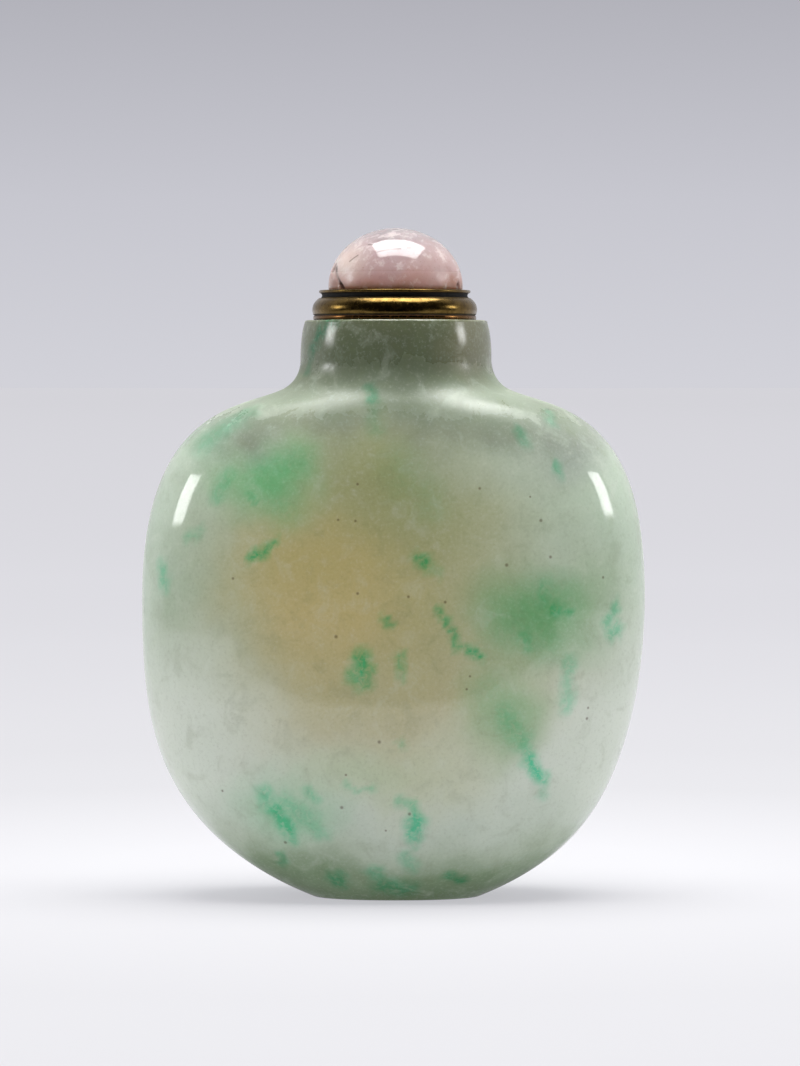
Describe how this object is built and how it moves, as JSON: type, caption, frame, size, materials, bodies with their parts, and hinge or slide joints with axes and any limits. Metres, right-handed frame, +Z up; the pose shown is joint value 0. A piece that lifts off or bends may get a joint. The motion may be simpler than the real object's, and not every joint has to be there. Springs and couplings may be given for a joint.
{
  "type": "snuff bottle",
  "caption": "Flattened rounded snuff bottle of carved pale green jadeite, hollow, on an oval foot, with a lift-off stopper: a turned brass collar under a domed pink stone.",
  "frame": {"origin": "on the ground under the middle of the whole object's box", "axes": "+Z up; the broad faces look along -Y and +Y; X across the bottle's width"},
  "size_m": [0.0478, 0.0248, 0.0634],
  "materials": {
    "jadeite": "polished pale green jadeite with emerald veins and a warm brown zone",
    "aged_brass": "worn, dark gold-brown, satin",
    "pink_stone": "polished translucent pale lilac-pink stone with cracks and chips"
  },
  "bodies": {
    "root": {"bottle": "jadeite", "stopper_collar": "aged_brass", "stopper_cabochon": "pink_stone"}
  },
  "joints": []
}
